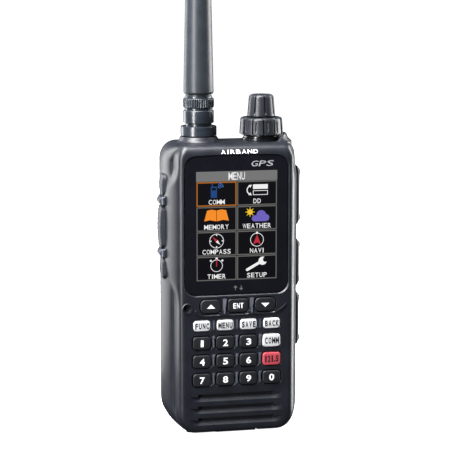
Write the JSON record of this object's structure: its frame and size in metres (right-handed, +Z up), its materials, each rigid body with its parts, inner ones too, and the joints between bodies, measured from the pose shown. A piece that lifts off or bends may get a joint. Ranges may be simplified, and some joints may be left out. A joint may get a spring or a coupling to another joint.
{
  "type": "handheld aviation radio",
  "caption": "Handheld airband radio with a colour display, keypad, side keys, twin top knob, screw-on whip antenna and clip-on battery.",
  "frame": {"origin": "on the ground under the middle of the radio, which stands upright on its four small feet", "axes": "+Z up along the case and the antenna, -Y out of the display face, +X to the right seen from the front"},
  "size_m": [0.0656, 0.035, 0.285],
  "materials": {
    "case_plastic": "fine-textured charcoal moulding with a soft sheen",
    "chassis_plastic": "fine-textured dark charcoal moulding",
    "black_rubber": "matte black seal rubber",
    "steel": "zinc-plated steel",
    "lens_gloss": "polished black-bordered lens",
    "display_panel": "lit colour panel under the lens",
    "mat_rubber": "silicone keypad mat",
    "circuit_board": "green solder mask",
    "tinned_steel": "tinned sheet steel",
    "ceramic": "fired ceramic patch",
    "speaker_frame": "black painted frame",
    "speaker_mesh": "black acoustic cloth",
    "switch_plastic": "tactile switch bodies on a strip",
    "jack_plastic": "black jack body",
    "knob_gloss": "smooth glossy collar",
    "contact_gold": "gold-plated contact",
    "side_key_rubber": "moulded rubber with raised ribs",
    "cover_rubber": "soft charcoal rubber",
    "knob_plastic": "satin dark grey moulding",
    "antenna_plastic": "satin dark grey moulding with a knurled ring",
    "antenna_rubber": "smooth satin sheath",
    "cell_wrap": "blue heat-shrink wrap",
    "latch_plastic": "textured charcoal moulding",
    "key_black": "black satin key with a white numeral",
    "key_white": "white key with a black legend",
    "key_red": "red key with a dark legend"
  },
  "bodies": {
    "radio": {"front_shell": "case_plastic", "rear_chassis": "chassis_plastic", "case_seal": "black_rubber", "case_screws": "steel", "display_lens": "lens_gloss", "lcd_module": "display_panel", "keypad_mat": "mat_rubber", "main_board": "circuit_board", "shield_cans": "tinned_steel", "gps_antenna": "ceramic", "speaker": "speaker_frame", "speaker_mesh": "speaker_mesh", "microphone": "tinned_steel", "side_switches": "switch_plastic", "mic_jack": "jack_plastic", "data_jack": "tinned_steel", "power_jack": "jack_plastic", "encoder_body": "tinned_steel", "knob_collar": "knob_gloss", "antenna_connector": "contact_gold", "radio_contacts": "contact_gold"},
    "ptt_key": {"ptt_button": "side_key_rubber"},
    "upper_side_key": {"side_button_upper": "side_key_rubber"},
    "lower_side_key": {"side_button_lower": "side_key_rubber"},
    "mic_cover": {"mic_jack_cover": "cover_rubber"},
    "data_cover": {"data_jack_cover": "cover_rubber"},
    "power_cover": {"power_jack_cover": "cover_rubber"},
    "dial": {"dial_knob": "knob_plastic", "dial_shaft": "steel"},
    "volume": {"volume_knob": "knob_plastic", "volume_shaft": "steel"},
    "antenna_washer": {"antenna_seal": "black_rubber"},
    "antenna": {"antenna_collar": "antenna_plastic", "antenna_sleeve": "antenna_plastic", "antenna_pin": "contact_gold", "antenna_whip": "antenna_rubber"},
    "battery": {"battery_case": "chassis_plastic", "battery_cells": "cell_wrap", "battery_contacts": "contact_gold"},
    "latch": {"battery_latch": "latch_plastic"},
    "key_7": {"key_7": "key_black"},
    "key_8": {"key_8": "key_black"},
    "key_9": {"key_9": "key_black"},
    "key_0": {"key_0": "key_black"},
    "key_4": {"key_4": "key_black"},
    "key_5": {"key_5": "key_black"},
    "key_6": {"key_6": "key_black"},
    "key_emergency": {"key_emergency": "key_red"},
    "key_1": {"key_1": "key_black"},
    "key_2": {"key_2": "key_black"},
    "key_3": {"key_3": "key_black"},
    "key_comm": {"key_comm": "key_white"},
    "key_func": {"key_func": "key_white"},
    "key_menu": {"key_menu": "key_white"},
    "key_save": {"key_save": "key_white"},
    "key_back": {"key_back": "key_white"},
    "key_up": {"key_up": "key_black"},
    "key_enter": {"key_enter": "key_black"},
    "key_down": {"key_down": "key_black"}
  },
  "joints": [
    {"name": "key_7_press", "type": "slide", "parent": "radio", "child": "key_7", "axis": [0, 1, 0], "range_m": [0, 0.0006], "stiffness_N_per_m": 1500, "springref_m": -0.0004},
    {"name": "key_8_press", "type": "slide", "parent": "radio", "child": "key_8", "axis": [0, 1, 0], "range_m": [0, 0.0006], "stiffness_N_per_m": 1500, "springref_m": -0.0004},
    {"name": "key_9_press", "type": "slide", "parent": "radio", "child": "key_9", "axis": [0, 1, 0], "range_m": [0, 0.0006], "stiffness_N_per_m": 1500, "springref_m": -0.0004},
    {"name": "key_0_press", "type": "slide", "parent": "radio", "child": "key_0", "axis": [0, 1, 0], "range_m": [0, 0.0006], "stiffness_N_per_m": 1500, "springref_m": -0.0004},
    {"name": "key_4_press", "type": "slide", "parent": "radio", "child": "key_4", "axis": [0, 1, 0], "range_m": [0, 0.0006], "stiffness_N_per_m": 1500, "springref_m": -0.0004},
    {"name": "key_5_press", "type": "slide", "parent": "radio", "child": "key_5", "axis": [0, 1, 0], "range_m": [0, 0.0006], "stiffness_N_per_m": 1500, "springref_m": -0.0004},
    {"name": "key_6_press", "type": "slide", "parent": "radio", "child": "key_6", "axis": [0, 1, 0], "range_m": [0, 0.0006], "stiffness_N_per_m": 1500, "springref_m": -0.0004},
    {"name": "key_emergency_press", "type": "slide", "parent": "radio", "child": "key_emergency", "axis": [0, 1, 0], "range_m": [0, 0.0006], "stiffness_N_per_m": 1500, "springref_m": -0.0004},
    {"name": "key_1_press", "type": "slide", "parent": "radio", "child": "key_1", "axis": [0, 1, 0], "range_m": [0, 0.0006], "stiffness_N_per_m": 1500, "springref_m": -0.0004},
    {"name": "key_2_press", "type": "slide", "parent": "radio", "child": "key_2", "axis": [0, 1, 0], "range_m": [0, 0.0006], "stiffness_N_per_m": 1500, "springref_m": -0.0004},
    {"name": "key_3_press", "type": "slide", "parent": "radio", "child": "key_3", "axis": [0, 1, 0], "range_m": [0, 0.0006], "stiffness_N_per_m": 1500, "springref_m": -0.0004},
    {"name": "key_comm_press", "type": "slide", "parent": "radio", "child": "key_comm", "axis": [0, 1, 0], "range_m": [0, 0.0006], "stiffness_N_per_m": 1500, "springref_m": -0.0004},
    {"name": "key_func_press", "type": "slide", "parent": "radio", "child": "key_func", "axis": [0, 1, 0], "range_m": [0, 0.0006], "stiffness_N_per_m": 1500, "springref_m": -0.0004},
    {"name": "key_menu_press", "type": "slide", "parent": "radio", "child": "key_menu", "axis": [0, 1, 0], "range_m": [0, 0.0006], "stiffness_N_per_m": 1500, "springref_m": -0.0004},
    {"name": "key_save_press", "type": "slide", "parent": "radio", "child": "key_save", "axis": [0, 1, 0], "range_m": [0, 0.0006], "stiffness_N_per_m": 1500, "springref_m": -0.0004},
    {"name": "key_back_press", "type": "slide", "parent": "radio", "child": "key_back", "axis": [0, 1, 0], "range_m": [0, 0.0006], "stiffness_N_per_m": 1500, "springref_m": -0.0004},
    {"name": "key_up_press", "type": "slide", "parent": "radio", "child": "key_up", "axis": [0, 1, 0], "range_m": [0, 0.0006], "stiffness_N_per_m": 1500, "springref_m": -0.0004},
    {"name": "key_enter_press", "type": "slide", "parent": "radio", "child": "key_enter", "axis": [0, 1, 0], "range_m": [0, 0.0006], "stiffness_N_per_m": 1500, "springref_m": -0.0004},
    {"name": "key_down_press", "type": "slide", "parent": "radio", "child": "key_down", "axis": [0, 1, 0], "range_m": [0, 0.0006], "stiffness_N_per_m": 1500, "springref_m": -0.0004},
    {"name": "ptt_key_press", "type": "slide", "parent": "radio", "child": "ptt_key", "axis": [1, 0, 0], "range_m": [0, 0.0009], "stiffness_N_per_m": 2500, "springref_m": -0.0006},
    {"name": "upper_side_key_press", "type": "slide", "parent": "radio", "child": "upper_side_key", "axis": [1, 0, 0], "range_m": [0, 0.0006], "stiffness_N_per_m": 2500, "springref_m": -0.0006},
    {"name": "lower_side_key_press", "type": "slide", "parent": "radio", "child": "lower_side_key", "axis": [1, 0, 0], "range_m": [0, 0.0006], "stiffness_N_per_m": 2500, "springref_m": -0.0006},
    {"name": "mic_cover_hinge", "type": "hinge", "parent": "radio", "child": "mic_cover", "pos_m": [0.0317, 0.004, 0.1063], "axis": [0, 0, 1], "range_deg": [0, 110]},
    {"name": "data_cover_hinge", "type": "hinge", "parent": "radio", "child": "data_cover", "pos_m": [0.0317, 0.004, 0.0755], "axis": [0, 0, 1], "range_deg": [0, 110]},
    {"name": "power_cover_hinge", "type": "hinge", "parent": "radio", "child": "power_cover", "pos_m": [0.0317, 0.004, 0.0495], "axis": [0, 0, 1], "range_deg": [0, 110]},
    {"name": "dial_turn", "type": "hinge", "parent": "radio", "child": "dial", "pos_m": [0.0148, 0, 0.137], "axis": [0, 0, -1], "continuous": true},
    {"name": "volume_turn", "type": "hinge", "parent": "radio", "child": "volume", "pos_m": [0.0148, 0, 0.147], "axis": [0, 0, -1], "range_deg": [0, 280]},
    {"name": "antenna_turn", "type": "hinge", "parent": "antenna_washer", "child": "antenna", "pos_m": [-0.0139, 0, 0.14], "axis": [0, 0, 1], "range_deg": [0, 1800]},
    {"name": "antenna_lift", "type": "slide", "parent": "radio", "child": "antenna_washer", "axis": [0, 0, 1], "range_m": [0, 0.00353]},
    {"name": "battery_tilt", "type": "hinge", "parent": "radio", "child": "battery", "pos_m": [0, 0.009, 0.0981], "axis": [1, 0, 0], "range_deg": [0, 10]},
    {"name": "latch_slide", "type": "slide", "parent": "radio", "child": "latch", "axis": [0, -1, 0], "range_m": [0, 0.0022]}
  ],
  "couplings": [
    {"joint": "antenna_turn", "follows": "antenna_lift", "rad_per_m": 8904.7}
  ]
}
